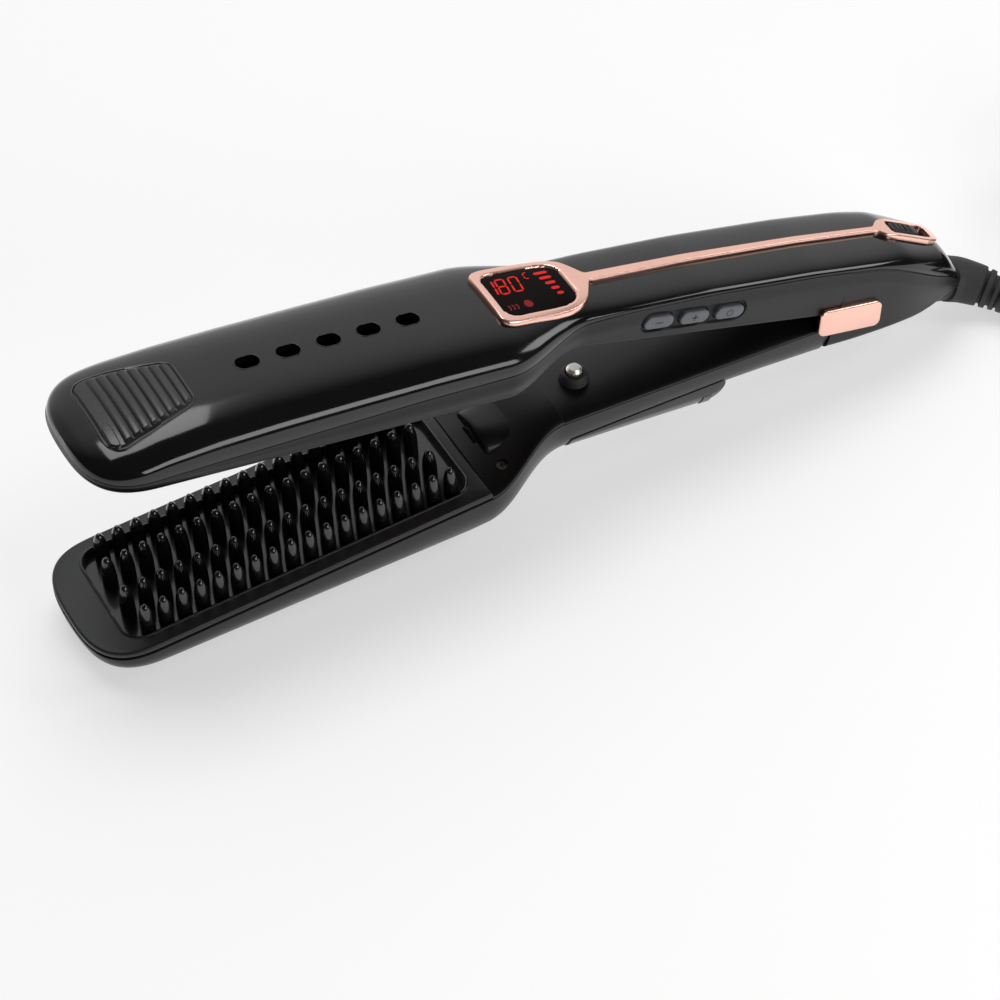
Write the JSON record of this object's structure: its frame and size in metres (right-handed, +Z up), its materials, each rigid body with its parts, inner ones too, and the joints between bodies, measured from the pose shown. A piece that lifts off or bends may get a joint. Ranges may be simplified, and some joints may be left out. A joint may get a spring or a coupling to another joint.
{
  "type": "steam hair straightener brush",
  "caption": "Two-arm clamp brush with tooth rows, bristle tufts, steam nozzle, water tank, display, side buttons and a coiled mains lead.",
  "frame": {"origin": "centre of the flat belly under the lower head, which the brush stands on", "axes": "+X along the brush towards the hinge and the cord, +Y across it, away from the side that carries the buttons, +Z up"},
  "size_m": [0.5621, 0.072, 0.0973],
  "materials": {
    "gloss_shell": "gloss black",
    "satin_housing": "satin dark grey",
    "lower_plastic": "satin black",
    "matte_black": "matte black",
    "tooth_gloss": "gloss black",
    "tank_plastic": "satin dark grey",
    "grip_rubber": "soft matte black",
    "rose_gold": "rose gold, satin",
    "display_glass": "smoked, clear gloss",
    "button_grey": "mid grey, satin",
    "bristle_amber": "amber brown bristle",
    "red_lens": "red translucent",
    "circuit_board": "green laminate",
    "inner_plastic": "plain moulded",
    "steel": "plain steel",
    "heater_aluminium": "cast aluminium",
    "pin_chrome": "bright nickel",
    "cord_rubber": "matte black",
    "tie_rubber": "dark grey",
    "plug_plastic": "matte black"
  },
  "bodies": {
    "upper_arm": {"upper_housing": "satin_housing", "upper_shell": "gloss_shell", "tip_grip": "grip_rubber", "trim_inlay": "rose_gold", "display_window": "display_glass", "display_module": "inner_plastic", "control_board": "circuit_board", "switch_board": "circuit_board", "bristle_plate": "matte_black", "bristle_tufts": "bristle_amber", "ir_lens_1": "red_lens", "ir_lens_2": "red_lens", "ir_lens_3": "red_lens", "ir_board": "circuit_board", "hinge_panel_near": "rose_gold", "hinge_panel_far": "rose_gold", "hinge_pin": "steel", "hinge_spring": "steel", "cord_clamp": "inner_plastic", "strain_relief": "cord_rubber", "cord": "cord_rubber", "cord_coil": "cord_rubber", "cord_tie": "tie_rubber", "plug": "plug_plastic", "plug_pins": "pin_chrome"},
    "lower_arm": {"lower_shell": "lower_plastic", "head_frame": "satin_housing", "tooth_plate": "gloss_shell", "tooth_row_1": "tooth_gloss", "tooth_row_2": "tooth_gloss", "tooth_row_3": "tooth_gloss", "tooth_row_4": "tooth_gloss", "heater_plate": "heater_aluminium", "thermal_fuse": "inner_plastic", "neck_cover": "lower_plastic", "steam_nozzle": "matte_black", "steam_chamber": "heater_aluminium", "neck_screws": "steel", "handle_cover": "matte_black", "plunger_bush": "matte_black", "pump_body": "inner_plastic", "pump_spring": "steel", "water_tube_in": "inner_plastic", "water_tube_out": "inner_plastic", "lower_hinge": "matte_black"},
    "minus_key": {"button_minus": "button_grey"},
    "plus_key": {"button_plus": "button_grey"},
    "power_key": {"button_power": "button_grey"},
    "lock": {"lock_slider": "matte_black"},
    "plunger": {"pump_plunger": "pin_chrome"},
    "tank": {"water_tank": "tank_plastic", "tank_plug": "grip_rubber"}
  },
  "joints": [
    {"name": "arm_hinge", "type": "hinge", "parent": "upper_arm", "child": "lower_arm", "pos_m": [0.20008, 0, 0.0299], "axis": [0, 1, 0], "range_deg": [0, 14], "stiffness_Nm_per_rad": 1.6, "springref_deg": -17.76},
    {"name": "minus_press", "type": "slide", "parent": "upper_arm", "child": "minus_key", "axis": [0, 1, 0], "range_m": [0, 0.0008], "stiffness_N_per_m": 400},
    {"name": "plus_press", "type": "slide", "parent": "upper_arm", "child": "plus_key", "axis": [0, 1, 0], "range_m": [0, 0.0008], "stiffness_N_per_m": 400},
    {"name": "power_press", "type": "slide", "parent": "upper_arm", "child": "power_key", "axis": [0, 1, 0], "range_m": [0, 0.0008], "stiffness_N_per_m": 400},
    {"name": "lock_slide", "type": "slide", "parent": "upper_arm", "child": "lock", "axis": [0.865, 0, -0.5018], "range_m": [0, 0.004]},
    {"name": "plunger_press", "type": "slide", "parent": "lower_arm", "child": "plunger", "axis": [0.0349, 0, -0.9994], "range_m": [0, 0.0022]},
    {"name": "tank_slide", "type": "slide", "parent": "lower_arm", "child": "tank", "axis": [0.0349, 0, -0.9994], "range_m": [0, 0.012]}
  ],
  "couplings": [
    {"joint": "plunger_press", "follows": "arm_hinge", "m_per_rad": 0.009}
  ]
}
